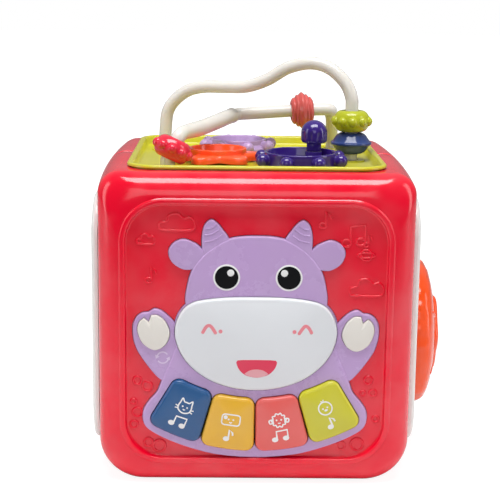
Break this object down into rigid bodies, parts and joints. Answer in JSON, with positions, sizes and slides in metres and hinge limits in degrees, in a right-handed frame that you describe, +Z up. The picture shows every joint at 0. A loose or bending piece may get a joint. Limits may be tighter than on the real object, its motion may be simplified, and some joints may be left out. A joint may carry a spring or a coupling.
{
  "type": "baby activity cube",
  "caption": "Red play cube with a cow-face keyboard and drum pad, meshing gears and bead wires on top, a turning side dial, a play clock and a battery bay behind.",
  "frame": {"origin": "middle of the flat underside that the cube rests on, on its centre line", "axes": "+Z up, -Y out of the front face with the keys, +X out of the right side with the dial"},
  "size_m": [0.2386, 0.2042, 0.2665],
  "materials": {
    "red_shell": "glossy red injection-moulded ABS",
    "white_panel": "glossy white ABS",
    "lime_tray": "glossy lime ABS",
    "lavender_plastic": "glossy lavender ABS",
    "muzzle_plastic": "pale grey satin ABS",
    "blue_plastic": "glossy dark blue ABS",
    "yellow_plastic": "glossy yellow ABS",
    "coral_plastic": "glossy coral ABS",
    "purple_plastic": "glossy dark purple ABS",
    "orange_plastic": "glossy orange ABS",
    "red_bead_plastic": "glossy red ABS",
    "tube_plastic": "glossy ivory tube",
    "silicone": "matt silicone",
    "circuit_board": "green glass-fibre board",
    "black_plastic": "matt black plastic",
    "battery_wrap": "plain green battery sleeve",
    "steel": "zinc-plated steel",
    "battery_wire": "black PVC insulation",
    "speaker_wire": "red PVC insulation"
  },
  "bodies": {
    "housing": {"front_shell": "red_shell", "rear_shell": "red_shell", "battery_door": "red_shell", "left_side_panel": "white_panel", "right_side_panel": "white_panel", "top_tray": "lime_tray", "cow_face_panel": "lavender_plastic", "clock_face": "yellow_plastic", "clock_pin": "yellow_plastic", "tall_maze_tube": "tube_plastic", "low_maze_tube": "tube_plastic", "rubber_dome_mat": "silicone", "circuit_board": "circuit_board", "battery_box": "black_plastic", "speaker": "black_plastic", "battery_cell_1": "battery_wrap", "battery_cell_2": "battery_wrap", "battery_cell_3": "battery_wrap", "contact_spring_1": "steel", "contact_spring_2": "steel", "contact_spring_3": "steel", "battery_door_screw": "steel", "housing_screw_1": "steel", "housing_screw_2": "steel", "housing_screw_3": "steel", "housing_screw_4": "steel", "tube_screw_1": "steel", "tube_screw_2": "steel", "tube_screw_3": "steel", "tube_screw_4": "steel", "purple_gear_screw": "steel", "orange_gear_screw": "steel", "lavender_gear_screw": "steel", "battery_lead": "battery_wire", "speaker_lead": "speaker_wire"},
    "blue_key": {"blue_key": "blue_plastic"},
    "yellow_key": {"yellow_key": "yellow_plastic"},
    "coral_key": {"coral_key": "coral_plastic"},
    "lime_key": {"lime_key": "lime_tray"},
    "drum_pad": {"drum_pad": "muzzle_plastic"},
    "left_hoof_button": {"left_hoof_button": "white_panel"},
    "right_hoof_button": {"right_hoof_button": "white_panel"},
    "power_switch": {"power_switch_knob": "white_panel"},
    "purple_gear": {"purple_gear": "purple_plastic", "gear_crank_knob": "purple_plastic"},
    "orange_gear": {"orange_gear": "orange_plastic"},
    "lavender_gear": {"lavender_gear": "lavender_plastic"},
    "dial": {"side_dial": "orange_plastic", "dial_screw": "steel"},
    "hour_hand": {"hour_hand": "blue_plastic"},
    "minute_hand": {"minute_hand": "coral_plastic"},
    "blue_bead": {"blue_bead": "blue_plastic"},
    "lime_bead": {"lime_bead": "lime_tray"},
    "coral_bead": {"coral_bead": "coral_plastic"},
    "red_bead": {"red_bead": "red_bead_plastic"}
  },
  "joints": [
    {"name": "blue_key_press", "type": "slide", "parent": "housing", "child": "blue_key", "axis": [0, 1, 0], "range_m": [0, 0.003], "stiffness_N_per_m": 400, "springref_m": -0.0005},
    {"name": "yellow_key_press", "type": "slide", "parent": "housing", "child": "yellow_key", "axis": [0, 1, 0], "range_m": [0, 0.003], "stiffness_N_per_m": 400, "springref_m": -0.0005},
    {"name": "coral_key_press", "type": "slide", "parent": "housing", "child": "coral_key", "axis": [0, 1, 0], "range_m": [0, 0.003], "stiffness_N_per_m": 400, "springref_m": -0.0005},
    {"name": "lime_key_press", "type": "slide", "parent": "housing", "child": "lime_key", "axis": [0, 1, 0], "range_m": [0, 0.003], "stiffness_N_per_m": 400, "springref_m": -0.0005},
    {"name": "drum_pad_press", "type": "slide", "parent": "housing", "child": "drum_pad", "axis": [0, 1, 0], "range_m": [0, 0.002], "stiffness_N_per_m": 900, "springref_m": -0.0005},
    {"name": "left_hoof_press", "type": "slide", "parent": "housing", "child": "left_hoof_button", "axis": [0, 1, 0], "range_m": [0, 0.0015], "stiffness_N_per_m": 500, "springref_m": -0.0005},
    {"name": "right_hoof_press", "type": "slide", "parent": "housing", "child": "right_hoof_button", "axis": [0, 1, 0], "range_m": [0, 0.0015], "stiffness_N_per_m": 500, "springref_m": -0.0005},
    {"name": "power_switch_slide", "type": "slide", "parent": "housing", "child": "power_switch", "axis": [0, 0, 1], "range_m": [0, 0.008]},
    {"name": "purple_gear_spin", "type": "hinge", "parent": "housing", "child": "purple_gear", "pos_m": [0.0293, -0.0375, 0.1983], "axis": [0, 0, 1], "continuous": true},
    {"name": "orange_gear_spin", "type": "hinge", "parent": "housing", "child": "orange_gear", "pos_m": [-0.0256, -0.013, 0.1983], "axis": [0, 0, 1], "continuous": true},
    {"name": "lavender_gear_spin", "type": "hinge", "parent": "housing", "child": "lavender_gear", "pos_m": [-0.0116, 0.041, 0.1983], "axis": [0, 0, 1], "continuous": true},
    {"name": "side_dial_turn", "type": "hinge", "parent": "housing", "child": "dial", "pos_m": [0.1059, 0, 0.078], "axis": [1, 0, 0], "continuous": true},
    {"name": "hour_hand_turn", "type": "hinge", "parent": "housing", "child": "hour_hand", "pos_m": [-0.1064, 0, 0.104], "axis": [-1, 0, 0], "continuous": true},
    {"name": "minute_hand_turn", "type": "hinge", "parent": "housing", "child": "minute_hand", "pos_m": [-0.1078, 0, 0.104], "axis": [-1, 0, 0], "continuous": true},
    {"name": "blue_bead_slide", "type": "slide", "parent": "housing", "child": "blue_bead", "axis": [0, 0, 1], "range_m": [-0.0035, 0.003]},
    {"name": "lime_bead_slide", "type": "slide", "parent": "blue_bead", "child": "lime_bead", "axis": [0, 0, 1], "range_m": [-0.0004, 0.003]},
    {"name": "coral_bead_slide", "type": "slide", "parent": "housing", "child": "coral_bead", "axis": [0.9966, 0.0564, 0.0602], "range_m": [-0.026, 0.005]},
    {"name": "red_bead_slide", "type": "slide", "parent": "housing", "child": "red_bead", "axis": [0.4187, 0.1396, 0.8973], "range_m": [-0.0012, 0.0006]}
  ],
  "couplings": [
    {"joint": "orange_gear_spin", "follows": "purple_gear_spin", "ratio": -1.3333},
    {"joint": "lavender_gear_spin", "follows": "purple_gear_spin", "ratio": 1}
  ]
}
